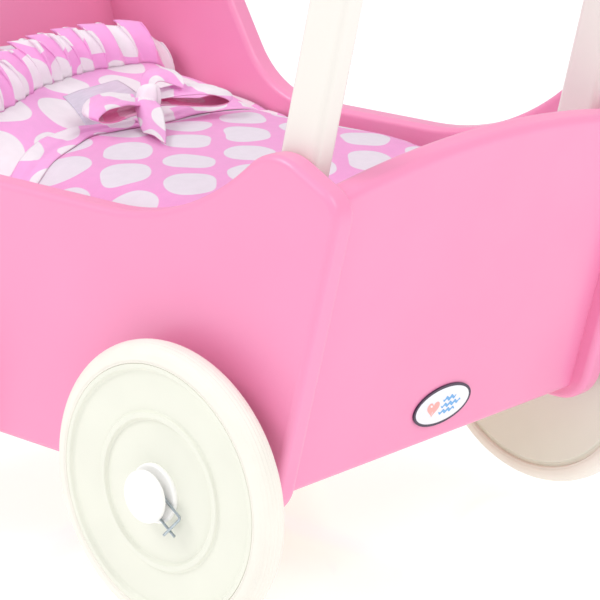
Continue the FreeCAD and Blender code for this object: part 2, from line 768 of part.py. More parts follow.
check_document()
os.makedirs("parts", exist_ok=True)
for node in nodes:
    node.Shape.exportStep(f"parts/{node.Label}.step")
whole = Part.makeCompound([node.Shape for node in nodes]).optimalBoundingBox(False)
print(f"{len(nodes)} nodes, box X {whole.XMin:.3f} {whole.XMax:.3f}, Y {whole.YMin:.3f} {whole.YMax:.3f}, "
      f"Z {whole.ZMin:.3f} {whole.ZMax:.3f}")
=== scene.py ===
"""The looks of a wooden doll stroller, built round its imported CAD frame."""

import math

import bmesh
import bpy
from mathutils import Matrix, Vector, noise
from mathutils.bvhtree import BVHTree


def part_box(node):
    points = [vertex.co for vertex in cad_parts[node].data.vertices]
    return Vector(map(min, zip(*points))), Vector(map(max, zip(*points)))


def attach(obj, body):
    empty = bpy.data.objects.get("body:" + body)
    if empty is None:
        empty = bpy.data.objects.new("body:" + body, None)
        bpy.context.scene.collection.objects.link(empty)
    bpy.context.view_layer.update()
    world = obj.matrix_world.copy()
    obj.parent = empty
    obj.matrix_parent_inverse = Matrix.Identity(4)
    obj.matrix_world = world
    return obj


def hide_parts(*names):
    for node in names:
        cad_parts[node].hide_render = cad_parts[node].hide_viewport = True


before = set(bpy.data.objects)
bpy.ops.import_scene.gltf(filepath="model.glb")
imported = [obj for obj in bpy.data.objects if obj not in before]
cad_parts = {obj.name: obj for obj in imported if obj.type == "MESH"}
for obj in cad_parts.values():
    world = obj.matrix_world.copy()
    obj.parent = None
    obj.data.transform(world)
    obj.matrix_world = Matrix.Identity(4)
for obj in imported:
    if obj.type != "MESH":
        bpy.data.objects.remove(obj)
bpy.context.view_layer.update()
MM = 0.001
UP = Vector((0, 0, 1))
WHEELS = ("rear_left", "rear_right", "front_left", "front_right")


# ---------------------------------------------------------------- camera, floor and light
SKY = 0.70


def aimed(place, target, roll=0.0):
    """The matrix of a camera or light at place that looks at target."""
    turn = (Vector(target) - Vector(place)).to_track_quat("-Z", "Y").to_matrix().to_4x4()
    return Matrix.Translation(place) @ turn @ Matrix.Rotation(roll, 4, "Z")


def add_camera():
    lens = bpy.data.cameras.new("camera")
    lens.lens, lens.sensor_width = 162.8, 36
    camera = bpy.data.objects.new("camera", lens)
    bpy.context.scene.collection.objects.link(camera)
    camera.matrix_world = aimed((1.07045, -1.08618, 0.57711), (0.0603, 0, 0.1375), -0.004)
    bpy.context.scene.camera = camera


def add_light(name, place, target, size, watts):
    lamp = bpy.data.lights.new(name, "AREA")
    lamp.shape, lamp.size, lamp.energy = "SQUARE", size, watts
    light = bpy.data.objects.new(name, lamp)
    bpy.context.scene.collection.objects.link(light)
    light.matrix_world = aimed(place, target)


def add_studio():
    world = bpy.data.worlds.new("studio")
    world.use_nodes = True
    sky = world.node_tree.nodes["Background"]
    sky.inputs["Color"].default_value = (1, 1, 1, 1)
    sky.inputs["Strength"].default_value = SKY
    bpy.context.scene.world = world
    bpy.context.scene.view_settings.view_transform = "Standard"
    add_light("key", (-0.9, -1.5, 1.9), (0, 0, 0.15), 1.0, 20)
    add_light("fill", (1.5, -0.1, 1.9), (0, 0, 0.15), 1.2, 16)
    half = 6  # metres
    corners = [(-half, -half, 0), (half, -half, 0), (half, half, 0), (-half, half, 0)]
    floor = bpy.data.meshes.new("floor")
    floor.from_pydata(corners, [], [(0, 1, 2, 3)])
    ground = bpy.data.objects.new("floor", floor)
    bpy.context.scene.collection.objects.link(ground)
    glow = {"IOR": 1.9, "Emission Color": (1, 1, 1, 1), "Emission Strength": 0.61}
    look = Look("studio_floor", (0.62, 0.62, 0.62), 0.07, glow)
    look.bump(look.noise(35, 2), 0.00005)
    floor.materials.append(look.made)


# ---------------------------------------------------------------- materials
def srgb(*levels):
    """A linear colour from 0-255 levels."""
    parts = [v / 255 for v in levels]
    return tuple(v / 12.92 if v <= 0.04045 else ((v + 0.055) / 1.055) ** 2.4 for v in parts)


class Look:
    """A procedural material under construction."""

    def __init__(self, name, colour, roughness, sockets=None, uv=False):
        self.made = bpy.data.materials.new(name)
        self.made.use_nodes = True
        self.tree = self.made.node_tree
        self.shader = self.tree.nodes["Principled BSDF"]
        self.base = (*colour, 1)
        self.shader.inputs["Base Color"].default_value = self.base
        self.shader.inputs["Roughness"].default_value = roughness
        for socket, value in (sockets or {}).items():
            self.shader.inputs[socket].default_value = value
        if uv:
            self.place = self.node("ShaderNodeUVMap", {}, uv_map="cloth").outputs["UV"]
        else:
            self.place = self.node("ShaderNodeTexCoord", {}).outputs["Object"]

    def node(self, kind, inputs, **settings):
        made = self.tree.nodes.new(kind)
        for setting, value in settings.items():
            setattr(made, setting, value)
        for key, value in inputs.items():
            if isinstance(value, bpy.types.NodeSocket):
                self.tree.links.new(value, made.inputs[key])
            else:
                made.inputs[key].default_value = value
        return made

    def maths(self, operation, a, b=0.0, c=0.0):
        return self.node("ShaderNodeMath", {0: a, 1: b, 2: c}, operation=operation).outputs[0]

    def noise(self, scale, detail=2.0, place=None, stretch=None):
        spot = place or self.place
        if stretch:
            spot = self.node("ShaderNodeMapping", {"Vector": spot, "Scale": stretch}).outputs[0]
        made = self.node("ShaderNodeTexNoise", {"Vector": spot, "Scale": scale, "Detail": detail})
        return made.outputs["Fac"]

    def split(self, vector):
        return self.node("ShaderNodeSeparateXYZ", {0: vector}).outputs

    def ramp(self, value, low, high, to_low=0.0, to_high=1.0):
        ends = {"From Min": low, "From Max": high, "To Min": to_low, "To Max": to_high}
        made = self.node(
            "ShaderNodeMapRange", {"Value": value, **ends}, interpolation_type="SMOOTHSTEP"
        )
        return made.outputs["Result"]

    def mix(self, factor, a, b):
        """A colour between a and b."""
        made = self.node("ShaderNodeMix", {"Factor": factor}, data_type="RGBA")
        for slot, value in ((6, a), (7, b)):
            if isinstance(value, bpy.types.NodeSocket):
                self.tree.links.new(value, made.inputs[slot])
            else:
                made.inputs[slot].default_value = value
        return made.outputs[2]

    def colour(self, socket):
        self.tree.links.new(socket, self.shader.inputs["Base Color"])

    def shade(self, amount, scale, detail=2.0, stretch=None):
        """Lets the base colour wander by amount, up and down."""
        dark = tuple(v * (1 - amount) for v in self.base[:3]) + (1,)
        light = tuple(min(1, v * (1 + amount)) for v in self.base[:3]) + (1,)
        grain = self.ramp(self.noise(scale, detail, stretch=stretch), 0.3, 0.7)
        self.colour(self.mix(grain, dark, light))

    def rough(self, low, high, scale):
        grain = self.ramp(self.noise(scale, 3), 0.35, 0.65, low, high)
        self.tree.links.new(grain, self.shader.inputs["Roughness"])

    def bump(self, height, distance, strength=1.0):
        """Adds height (0 to 1) times distance, in metres, to the surface."""
        inputs = {"Height": height, "Distance": distance, "Strength": strength}
        already = self.shader.inputs["Normal"].links
        if already:
            inputs["Normal"] = already[0].from_socket
        made = self.node("ShaderNodeBump", inputs)
        self.tree.links.new(made.outputs[0], self.shader.inputs["Normal"])

    def weave(self, pitch, distance):
        """Plain weave: threads of this pitch across and along."""
        across, along, _ = self.split(self.place)
        turn = 2 * math.pi / pitch
        threads = self.maths(
            "MULTIPLY",
            self.maths("SINE", self.maths("MULTIPLY", across, turn)),
            self.maths("SINE", self.maths("MULTIPLY", along, turn)),
        )
        self.bump(threads, distance)


# The dotted cotton's darker copy, worn by the pads: painted shade, with a lighter lit copy for the
# sheets laid over them.
PINK_CLOTH = srgb(246, 162, 219)
DOT_CLOTH = srgb(236, 225, 237)
# A deeper, darker pink: painted shade for the insides of the bow's loops, tinted like light through pink
# cloth.
LOOP_SHADE_PINK = srgb(244, 128, 186)


def lacquer(name, colour):
    """Sprayed lacquer over wood: a soft gloss with a faint orange peel."""
    look = Look(name, colour, 0.36, {"Coat Weight": 0.25, "Coat Roughness": 0.22})
    look.shade(0.012, 9)
    look.rough(0.33, 0.41, 25)
    look.bump(look.noise(420, 2), 0.00004)
    look.bump(look.noise(28, 2), 0.0002)
    return look.made


def wood(name, light, stretch):
    look = Look(name, light, 0.55)
    look.shade(0.16, 60, 5, stretch)
    look.bump(look.noise(300, 4, stretch=stretch), 0.0001)
    return look.made


def moulded(name, colour, roughness, sockets=None):
    """Moulded plastic: nearly smooth, with slow sink marks and a fine grain."""
    look = Look(name, colour, roughness, sockets)
    look.shade(0.012, 30)
    look.bump(look.noise(1400, 2), 0.00002)
    look.bump(look.noise(55, 2), 0.00008)
    return look.made


def rubber(name, colour):
    look = Look(name, colour, 0.5, {"Sheen Weight": 0.08})
    look.shade(0.02, 45, 3)
    look.rough(0.42, 0.58, 90)
    look.bump(look.noise(900, 3), 0.00004)
    return look.made


def metal(name, colour, roughness, scratches):
    look = Look(name, colour, roughness, {"Metallic": 1.0})
    look.shade(0.08, 400, 3)
    look.bump(look.noise(scratches, 3, stretch=(1, 8, 1)), 0.00002)
    return look.made


def cotton(name, dotted=True, pink=PINK_CLOTH, dots=DOT_CLOTH):
    """Plain-woven cotton, printed with rows of slightly uneven, slightly long dots."""
    look = Look(name, pink, 0.82, {"Sheen Weight": 0.25, "Sheen Roughness": 0.4}, uv=True)
    look.weave(0.00055, 0.00005)
    look.bump(look.noise(90, 3), 0.0006, 0.5)
    if not dotted:
        look.shade(0.03, 120, 3)
        return look.made
    step, row = Vector((0.0325, -0.031)), Vector((0.0105, 0.038))
    area = step.x * row.y - step.y * row.x
    x, y, _ = look.split(look.place)
    sway_x = look.ramp(look.noise(30, 0), 0.2, 0.8, -0.0024, 0.0024)
    sway_y = look.ramp(look.noise(34, 0, stretch=(1, 1.2, 1)), 0.2, 0.8, 0.002, -0.002)
    x, y = look.maths("ADD", x, sway_x), look.maths("ADD", y, sway_y)

    def count(across_x, across_y):
        """How far along one lattice direction, in steps, from the nearest dot."""
        steps = look.maths(
            "ADD", look.maths("MULTIPLY", x, across_x), look.maths("MULTIPLY", y, across_y)
        )
        return look.maths("SUBTRACT", steps, look.maths("ROUND", steps))

    s, t = count(row.y / area, -row.x / area), count(-step.y / area, step.x / area)
    along = step.normalized()
    off_along, off_across = row.dot(along), row.x * -along.y + row.y * along.x
    shifted = look.maths("MULTIPLY", s, step.length), look.maths("MULTIPLY", t, off_along)
    p = look.maths("ADD", *shifted)
    q = look.maths("MULTIPLY", t, off_across)
    half_long, half_wide, squareness = 0.0175, 0.0147, 2.3
    p = look.maths("POWER", look.maths("ABSOLUTE", look.maths("DIVIDE", p, half_long)), squareness)
    q = look.maths("POWER", look.maths("ABSOLUTE", look.maths("DIVIDE", q, half_wide)), squareness)
    inside = look.ramp(look.maths("ADD", p, q), 1.04, 0.96)
    tone = look.ramp(look.noise(150, 3), 0.3, 0.7, 0.0, 1.0)
    ground = look.mix(tone, tuple(v * 0.97 for v in pink) + (1,), (*pink, 1))
    white = look.mix(tone, tuple(v * 0.97 for v in dots) + (1,), (*dots, 1))
    look.colour(look.mix(inside, ground, white))
    return look.made


def satin():
    look = Look("satin", srgb(214, 203, 222), 0.3, {"Sheen Weight": 0.3}, uv=True)
    look.shade(0.05, 60, 2, (1, 6, 1))
    look.bump(look.noise(500, 2, stretch=(1, 12, 1)), 0.00006)
    return look.made


LOOKS = {
    "pink_paint": lacquer("pink_paint_look", srgb(245, 148, 190)),
    "cream_paint": lacquer("cream_paint_look", srgb(238, 234, 227)),
    "plywood": wood("plywood_look", srgb(222, 190, 148), (1, 14, 1)),
    "beech": wood("beech_look", srgb(216, 178, 136), (1, 14, 14)),
    "tyre_rubber": rubber("tyre_rubber_look", srgb(244, 240, 230)),
    "cream_plastic": moulded("cream_plastic_look", srgb(234, 235, 222), 0.38),
    "white_plastic": moulded("white_plastic_look", srgb(252, 251, 249), 0.28),
    "spring_wire": metal("spring_wire_look", srgb(176, 186, 192), 0.28, 900),
    "zinc_steel": metal("zinc_steel_look", srgb(190, 194, 198), 0.35, 600),
    "brass": metal("brass_look", srgb(206, 172, 104), 0.34, 600),
    "badge_rim": moulded("badge_rim_look", srgb(58, 40, 66), 0.3),
    "badge_face": moulded("badge_face_look", srgb(240, 243, 249), 0.16, {"Coat Weight": 0.6}),
    "mattress_cotton": cotton("mattress_cotton_look", False),
    "dotted_cotton": cotton("dotted_cotton_look"),
    "satin": satin(),
}


def dress_cad_nodes():
    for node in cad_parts.values():
        for spot, old in enumerate(node.data.materials):
            if old.name.split(".")[0] in LOOKS:
                node.data.materials[spot] = LOOKS[old.name.split(".")[0]]


# ---------------------------------------------------------------- mesh making
def new_piece(name, points, faces, slot, body, nodes, uvs=None, look=None):
    """A smooth mesh that rides a body and stands for CAD nodes. Points and uvs are in mm."""
    mesh = bpy.data.meshes.new(name)
    mesh.from_pydata([Vector(p) * MM for p in points], [], faces)
    mesh.materials.append(look or LOOKS[slot])
    if uvs:
        layer = mesh.uv_layers.new(name="cloth")
        for loop in mesh.loops:
            layer.data[loop.index].uv = Vector(uvs[loop.vertex_index]) * MM
    mesh.polygons.foreach_set("use_smooth", [True] * len(mesh.polygons))
    mesh.update()
    piece = bpy.data.objects.new(name, mesh)
    bpy.context.scene.collection.objects.link(piece)
    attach(piece, body)
    if nodes:
        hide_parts(*nodes)
    return piece


def quads(rows, columns, closed=False):
    """Faces of a grid of rows x columns points; closed joins the last column to the first."""
    last = columns if closed else columns - 1
    return [
        (
            r * columns + c,
            r * columns + (c + 1) % columns,
            (r + 1) * columns + (c + 1) % columns,
            (r + 1) * columns + c,
        )
        for r in range(rows - 1)
        for c in range(last)
    ]


def spline(points, t):
    """The point at t (0 to 1) on a smooth curve through these points."""
    spans = len(points) - 1
    at = min(max(t, 0), 1) * spans
    i = min(int(at), spans - 1)
    f = at - i
    p = [Vector(points[min(max(k, 0), spans)]) for k in (i - 1, i, i + 1, i + 2)]
    return 0.5 * (
        2 * p[1]
        + (p[2] - p[0]) * f
        + (2 * p[0] - 5 * p[1] + 4 * p[2] - p[3]) * f**2
        + (3 * p[1] - p[0] - 3 * p[2] + p[3]) * f**3
    )


def wander(x, y, size, seed=0.0):
    """Smooth noise from -1 to 1, with bumps of about this size in mm."""
    return noise.noise(Vector((x / size, y / size, seed)))


def finish_cloth(piece, thick=0.5, rim=None, back=None):
    """Gives a sheet its thickness, with the turned hem showing at its edge."""
    piece.data.materials.append(rim or HEM)
    solid = piece.modifiers.new("thickness", "SOLIDIFY")
    solid.thickness, solid.offset, solid.material_offset_rim = thick * MM, 0, 1
    # A back look colours the sheet's other face; the bow passes a painted-shade copy here.
    if back:
        piece.data.materials.append(back)
        solid.material_offset = 2
    return piece


def cloth_grid(
    name, place, along, across, slot, nodes, turn=0.0, shift=(0, 0), gather=1.0, flat_print=False
):
    """A sheet from place(s, t). Its UVs are its own lengths, turned by an angle and shifted,
    or with flat_print its X and Y from the point shift."""
    grid = [[place(r / along, c / across) for c in range(across + 1)] for r in range(along + 1)]
    middle = across // 2
    uvs, run = [], 0.0
    cos, sin = math.cos(turn), math.sin(turn)
    for r, row in enumerate(grid):
        if r:
            run += (row[middle] - grid[r - 1][middle]).length * gather
        width = 0.0
        for c, point in enumerate(row):
            if c:
                width += (point - row[c - 1]).length
            if flat_print:
                uvs.append((point.x - shift[0], point.y - shift[1]))
            else:
                uvs.append((cos * run - sin * width + shift[0], sin * run + cos * width + shift[1]))
    points = [p for row in grid for p in row]
    # Dotted sheets take the lighter, painted-light copy of the cloth.
    look = LIT_COTTON if slot == "dotted_cotton" else None
    return new_piece(name, points, quads(along + 1, across + 1), slot, "bedding", nodes, uvs, look)


def loft(rails, s, t):
    """The point s along and t across a strip that passes through these rails."""
    return spline([spline(rail, s) for rail in rails], t)


def lathe(name, profile, wheel, slot, node, steps=180):
    """Turns a (radius, offset) profile, mm, about a wheel's axle. Offsets run outwards from
    the tyre's inner face."""
    low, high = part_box("tyre_" + wheel)
    centre = (low + high) / 2 / MM
    side = 1 if centre.y > 0 else -1
    inner = min(abs(low.y), abs(high.y)) / MM
    points = []
    for step in range(steps):
        angle = 2 * math.pi * step / steps
        for radius, offset in profile:
            points.append(
                (
                    centre.x + radius * math.cos(angle),
                    side * (inner + offset),
                    centre.z + radius * math.sin(angle),
                )
            )
    count = len(profile)
    corners = ((0, 0), (1, 0), (1, 1), (0, 1))[::side]
    faces = [
        tuple(((s + ds) % steps) * count + (c + dc) % count for ds, dc in corners)
        for s in range(steps)
        for c in range(count)
    ]
    return new_piece(name, points, faces, slot, "wheel_" + wheel, [node])


# ---------------------------------------------------------------- wheels
def tyre_profile():
    """A round rubber tread with fine moulded ribs, and a lip beside the disc."""
    half, crown, seam = 9.35, 9.1, 69.0
    profile = [(seam, 2.6), (seam + 0.3, 0.5), (seam + 0.9, 0.2), (seam + 1.5, 0.6)]
    samples, ribs = 84, 13
    for i in range(samples + 1):
        angle = math.pi * (i / samples - 0.5)
        groove = 0.0
        if abs(angle) < 1.12:
            groove = 0.32 * max(0, math.cos(2 * math.pi * ribs * i / samples)) ** 2
        radius = 80 - crown + (crown - groove) * math.cos(angle)
        profile.append((radius, half + crown * math.sin(angle)))
    profile += [(seam + 1.5, 18.1), (seam + 0.9, 18.5), (seam + 0.3, 18.2), (seam, 17.4)]
    return profile


def build_tyres():
    for wheel in WHEELS:
        lathe("tyre_ribbed_" + wheel, tyre_profile(), wheel, "tyre_rubber", "tyre_" + wheel)


# ---------------------------------------------------------------- badge
def build_badge():
    """A domed oval face with a plain heart and three wavy lines."""
    low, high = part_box("badge_face")
    centre = (low + high) / 2 / MM
    lean = Matrix.Rotation(math.radians(15), 3, "Y")
    out, up = lean @ Vector((1, 0, 0)), lean @ Vector((0, 0, 1))
    wide, tall, dome, sunk = 22.3, 10.9, 1.3, 0.4
    heart_y, print_lift = -9.5, 0.05

    def on_dome(y, z, lift=0.0):
        r = min(1, math.hypot(y / wide, z / tall))
        return centre + Vector((0, y, 0)) + up * z + out * (-sunk + dome * (1 - r**2.6) + lift)

    rings, steps = 18, 96
    points = [on_dome(0, 0)]
    for ring in range(1, rings + 1):
        for step in range(steps):
            angle = 2 * math.pi * step / steps
            share = ring / rings
            points.append(on_dome(wide * share * math.cos(angle), tall * share * math.sin(angle)))
    faces = [(0, 1 + s, 1 + (s + 1) % steps) for s in range(steps)]
    faces += [
        (
            1 + (r - 1) * steps + s,
            1 + r * steps + s,
            1 + r * steps + (s + 1) % steps,
            1 + (r - 1) * steps + (s + 1) % steps,
        )
        for r in range(1, rings)
        for s in range(steps)
    ]
    new_piece("badge_dome", points, faces, "badge_face", "chassis", ["badge_face"])
    rose = moulded("badge_rose_look", srgb(244, 176, 170), 0.2)
    blue = moulded("badge_blue_look", srgb(110, 176, 232), 0.2)
    heart = [on_dome(heart_y, 0.4, print_lift)]
    outline = 60
    for step in range(outline):
        a = 2 * math.pi * step / outline
        x = 16 * math.sin(a) ** 3
        y = 13 * math.cos(a) - 5 * math.cos(2 * a) - 2 * math.cos(3 * a) - math.cos(4 * a)
        heart.append(on_dome(heart_y + x * 0.31, 0.6 + y * 0.33, print_lift))
    fan = [(0, 1 + s, 1 + (s + 1) % outline) for s in range(outline)]
    new_piece("badge_heart", heart, fan, "badge_face", "chassis", [], look=rose)
    samples = 40
    for row, (rise, start, end) in enumerate(((4.2, -2, 9), (0.3, -3, 14), (-3.6, -4, 10))):
        wave = []
        for step in range(samples + 1):
            y = start + (end - start) * step / samples
            z = rise + 0.7 * math.sin(y * 1.5 + row)
            fat = 1.15 * math.sin(math.pi * (step + 0.5) / (samples + 1)) ** 0.4
            wave += [on_dome(y, z - fat, print_lift), on_dome(y, z + fat, print_lift)]
        faces = quads(samples + 1, 2)
        new_piece(f"badge_wave_{row}", wave, faces, "badge_face", "chassis", [], look=blue)


# ---------------------------------------------------------------- bedding
# Lines across the bedding from the near side to the far side, as (x, y) in mm.
RUFFLE_LINE = [
    (-101, -119), (-107, -84), (-110, -66), (-119, -44), (-134, -20), (-139, 0),
    (-145, 18), (-149, 38), (-153, 62), (-156, 90), (-158, 119),
]
SASH_LINE = [
    (-46, -121), (-56, -97), (-70, -66), (-80, -32), (-79, 8),
    (-83, 40), (-80, 72), (-74, 98), (-70, 121),
]
KNOT = Vector((-75, 13.5, 233.5))
HALF_COT = 121  # mm from the middle to the bedding's side


def puff(piece, cap, pressure=4.0, voxel=0.0055, frames=20):
    """Swells a closed pad with cloth under pressure; no point moves further than cap, in mm."""
    bpy.context.view_layer.objects.active = piece
    remesh = piece.modifiers.new("voxels", "REMESH")
    remesh.mode, remesh.voxel_size = "VOXEL", voxel
    bpy.ops.object.modifier_apply(modifier="voxels")
    before = [v.co.copy() for v in piece.data.vertices]
    cloth = piece.modifiers.new("cloth", "CLOTH")
    cloth.settings.use_pressure = True
    cloth.settings.uniform_pressure_force = pressure
    cloth.settings.effector_weights.gravity = 0
    cloth.point_cache.frame_start, cloth.point_cache.frame_end = 1, frames
    for step in range(1, frames + 1):
        bpy.context.scene.frame_set(step)
    swollen = piece.evaluated_get(bpy.context.evaluated_depsgraph_get()).to_mesh()
    after = [v.co.copy() for v in swollen.vertices]
    piece.modifiers.clear()
    bpy.context.scene.frame_set(1)
    for vertex, start, end in zip(piece.data.vertices, before, after):
        move = end - start
        if move.length > cap * MM:
            move *= cap * MM / move.length
        vertex.co = start + move
    smooth = piece.modifiers.new("smooth", "SMOOTH")
    smooth.factor, smooth.iterations = 0.5, 4
    bpy.ops.object.modifier_apply(modifier="smooth")
    finer = piece.modifiers.new("finer", "SUBSURF")
    finer.levels = finer.render_levels = 1
    bpy.ops.object.modifier_apply(modifier="finer")


def weld(piece):
    """Joins the CAD mesh's doubled corners, so that the remesh sees one closed skin."""
    joined = bmesh.new()
    joined.from_mesh(piece.data)
    bmesh.ops.remove_doubles(joined, verts=joined.verts, dist=0.00002)
    joined.to_mesh(piece.data)
    joined.free()


def print_pad(piece, low, high):
    """Lays the printed cloth flat on a pad's top and folds it down the sides."""
    centre, half = (low + high) / 2, (high - low) / 2
    print_x, print_y, fold_below, side_from = -0.0145, 0.042, 0.012, 0.9
    layer = piece.data.uv_layers.get("cloth") or piece.data.uv_layers.new(name="cloth")
    for loop in piece.data.loops:
        co = piece.data.vertices[loop.vertex_index].co
        drop = max(0.0, high.z - fold_below - co.z)
        spread_x = spread_y = 0
        if abs(co.x - centre.x) > half.x * side_from:
            spread_x = drop * max(-1, min(1, (co.x - centre.x) / half.x * 1.6))
        if abs(co.y) > half.y * side_from:
            spread_y = drop * (1 if co.y > 0 else -1)
        layer.data[loop.index].uv = (co.x + spread_x + print_x, co.y + spread_y + print_y)


def pad_from(node, name, slot, body, inset, cap, shape=None):
    """A soft pad grown from a CAD solid's own form, and no wider than that solid."""
    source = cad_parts[node].data
    low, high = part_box(node)
    centre = (low + high) / 2
    half = (high - low) / 2
    inset -= 0  # subtracts nothing; the inset stays as given
    points = []
    for v in source.vertices:
        away = v.co - centre
        share = Vector([1 - inset * MM / h for h in half])
        points.append((centre + Vector([a * s for a, s in zip(away, share)])) / MM)
    faces = [tuple(p.vertices) for p in source.polygons]
    piece = new_piece(name, points, faces, slot, body, [node])
    weld(piece)
    puff(piece, cap)
    for v in piece.data.vertices:
        if shape:
            v.co = shape(v.co / MM) * MM
        v.co.y = min(max(v.co.y, low.y), high.y)
    print_pad(piece, low, high)
    piece.data.polygons.foreach_set("use_smooth", [True] * len(piece.data.polygons))
    piece.data.update()
    return piece


def sash_distance(x, y):
    """How far (x, y) lies from the sash's middle, in mm; negative towards the head."""
    best = 1e9
    for step in range(41):
        q = spline([(*p, 0) for p in SASH_LINE], step / 40)
        gap = math.hypot(x - q.x, y - q.y)
        if gap < abs(best):
            best = math.copysign(gap, x - q.x)
    return best


def wrap_shape(p):
    """The padded base: a low crown, pressed in along the sash, with slack wrinkles."""
    if p.z < 190:
        return p
    share = min(1, (p.z - 190) / 15)
    inward = max(0.0, 1 - (abs(p.y) / HALF_COT) ** 2.2) ** 0.6 * max(0.0, 1 - (abs(p.x + 17) / 186) ** 4)
    p.z += share * (3.5 * inward - 3.0 * (abs(p.y) / HALF_COT) ** 3)
    p.z += share * inward * (2.2 * wander(p.x, p.y, 70, 1) + 0.9 * wander(p.x * 0.6, p.y, 24, 2))
    p.z -= share * 3.2 * math.exp(-((sash_distance(p.x, p.y) / 13) ** 2))
    return p


def pillow_shape(p):
    """The pillow's front tucks in low behind the ruffle."""
    line = RUFFLE_LINE
    for (x0, y0), (x1, y1) in zip(line, line[1:]):
        if p.y <= y1:
            break
    seam = x0 + (x1 - x0) * (p.y - y0) / (y1 - y0)
    near = min(1, max(0.0, 1 - (seam - p.x) / 48))
    p.z -= 17 * near**1.3 * min(1, max(0, p.z - 218) / 20)
    return p


def surface_under(piece):
    """A function that gives the height, mm, of a piece's top at (x, y) mm."""
    tree = BVHTree.FromPolygons(
        [v.co.copy() for v in piece.data.vertices], [tuple(p.vertices) for p in piece.data.polygons]
    )

    def height(x, y):
        hit = tree.ray_cast(Vector((x * MM, y * MM, 1)), Vector((0, 0, -1)))[0]
        return hit.z / MM if hit else 205.0

    return height


def build_bedding():
    pad_from("mattress", "mattress_pad", "mattress_cotton", "chassis", 3, 5)
    base = pad_from("wrap", "wrap_base", "dotted_cotton", "bedding", 5, 5, wrap_shape)
    pad_from("pillow", "pillow_pad", "dotted_cotton", "bedding", 6, 12, pillow_shape)
    top = surface_under(base)

    def flap(s, t, lift=1.2):
        """The upper flap: s across the cot, t from the ruffle's seam to the sash."""
        seam = spline([(*p, 0) for p in RUFFLE_LINE], s)
        sash = spline([(*p, 0) for p in SASH_LINE], s)
        spot = seam.lerp(sash, t)
        edge = min(1, 0.45 + (1 - abs(spot.y) / 122) * 5)
        rise = (12 + 8 * min(1, 2.5 * s)) * edge * (1 - t) ** 1.4 + lift
        rise += edge * math.sin(math.pi * t) * (1.6 + 1.2 * wander(spot.x, spot.y, 40, 5))
        under = top(spot.x, max(-110, min(110, spot.y)))
        return Vector((spot.x, spot.y, min(under, 222) + rise))

    piece = cloth_grid(
        "wrap_flap", flap, 72, 30, "dotted_cotton", ["wrap"], shift=(-133, -1), flat_print=True
    )
    finish_cloth(piece)

    over = surface_under(piece)

    def seam_height(x, y):
        return max(over(x, y), top(x, y))

    build_ruffle(flap)
    build_sash(top, seam_height)
    build_patch(seam_height)
    build_bow(seam_height)


def build_ruffle(flap):
    """A strip gathered into the flap's head edge, standing up and leaning on the pillow."""
    folds, tall = 17, 31

    def ruffle(s, t):
        seam = flap(s, 0)
        ahead, behind = flap(min(1, s + 0.01), 0), flap(max(0, s - 0.01), 0)
        run = (ahead - behind).normalized()
        back = Vector((-run.y, run.x, 0))
        back = back if back.x < 0 else -back
        phase = 2 * math.pi * folds * s + 1.4 * wander(s * 100, 0, 9, 3)
        phase += 0.5 * t * wander(s * 100, 0, 5, 4)
        deep = 1.0 + 6.6 * t**0.8 * (1 + 0.35 * wander(s * 100, 0, 6, 8))
        lean = back * (6 * t + 13 * t**2) + UP * (tall * (t - 0.22 * t**2))
        fold = back * (deep * math.sin(phase)) + run * (0.36 * deep * math.sin(2 * phase))
        lift = UP * (1.6 * t * math.cos(phase * 0.5 + 1))
        spot = seam + lean + fold + lift
        spot.y = min(max(spot.y, -120.5), 120.5)
        return spot

    along = folds * 26
    piece = cloth_grid(
        "wrap_ruffle", ruffle, along, 16, "dotted_cotton", ["pillow_ruffle"], 0.3, (5, 12), 0.75
    )
    finish_cloth(piece)


def band(line, height, lift, start, end):
    """A flat band laid along part of a line, narrower at the knot; returns place(s, t)."""
    path = [(*p, 0) for p in line]
    ahead = 0.01

    def place(s, t):
        at = start + (end - start) * s
        here, on = spline(path, at), spline(path, at + ahead)
        if at > 0.985:
            here, on = spline(path, at - ahead), spline(path, at)
            here += Vector(path[-1]) - on
        run = (on - here).normalized()
        half_width = 5 + 4 * min(1, abs(at - 0.5) * 4)
        side = Vector((run.y, -run.x, 0)) * (half_width * (2 * t - 1))
        spot = spline(path, at) + side
        spot.y = min(max(spot.y, -HALF_COT), HALF_COT)
        puffed = 1.5 * max(0, math.sin(math.pi * t)) ** 0.5 + 0.35 * wander(spot.x, spot.y, 16, 11)
        return Vector((spot.x, spot.y, height(spot.x, spot.y) + lift + puffed))

    return place


def build_sash(top, over):
    """The tie band across the wrap, in two halves that meet under the knot."""

    def under_band(x, y):
        """The flap's height on the head side of the sash's middle, else the wrap's."""
        return max(top(x, y), over(x, y)) if sash_distance(x, y) < 0 else top(x, y)

    halves = (("sash_near", 0, 0.5, (3, 8), 0.155), ("sash_far", 0.5, 1, (20, 2), 0.115))
    for name, start, end, shift, length in halves:
        place = band(SASH_LINE, under_band, 0.5, start, end)
        piece = cloth_grid(name, place, 60, 12, "dotted_cotton", ["sash"], 0.15, shift)
        finish_cloth(piece)


def build_patch(height):
    """A plain satin patch on the flap, half under the bow."""
    outline = (-117, -17, 0), (-128, 38, 0), (-96, 34, 0), (-73, -31, 0)
    corners = [Vector(corner) for corner in outline]

    def patch(s, t):
        spot = corners[0].lerp(corners[1], s).lerp(corners[3].lerp(corners[2], s), t)
        return Vector((spot.x, spot.y, height(spot.x, spot.y) + 0.7))

    piece = cloth_grid("satin_label_patch", patch, 24, 20, "satin", ["satin_patch"])
    finish_cloth(piece, 0.3, LOOKS["satin"])


